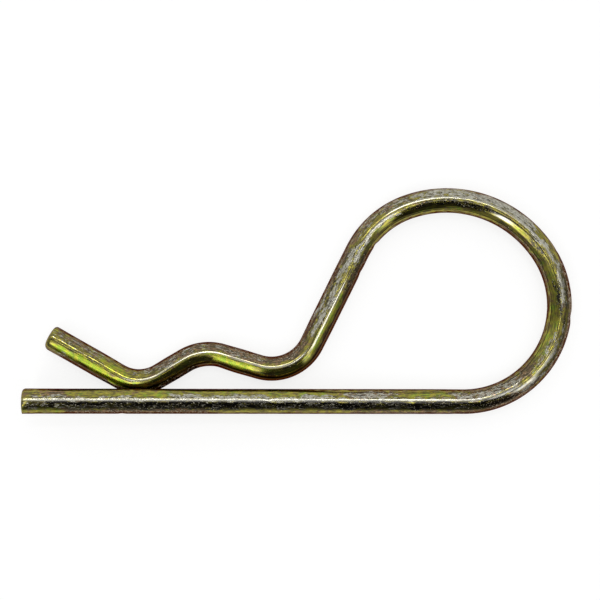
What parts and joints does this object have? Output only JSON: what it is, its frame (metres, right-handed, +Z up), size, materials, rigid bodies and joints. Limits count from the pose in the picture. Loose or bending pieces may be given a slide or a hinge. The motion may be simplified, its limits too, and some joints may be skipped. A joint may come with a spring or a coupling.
{
  "type": "hairpin cotter pin",
  "caption": "Hairpin cotter pin of bent round spring wire: a straight leg that goes through a shaft's cross hole, a finger ring, and a wavy arm that grips the shaft.",
  "frame": {"origin": "centre of the bounding box's bottom face, on the surface that the pin lies on", "axes": "+X along the straight leg towards the ring, +Y across the pin from the leg towards the wavy arm, +Z up, away from the surface"},
  "size_m": [0.0698, 0.0288, 0.0064],
  "materials": {
    "yellow_zinc_plate": "yellow chromate zinc plate on drawn spring wire, scuffed grey along one side"
  },
  "bodies": {
    "root": {"hairpin_wire": "yellow_zinc_plate"}
  },
  "joints": []
}
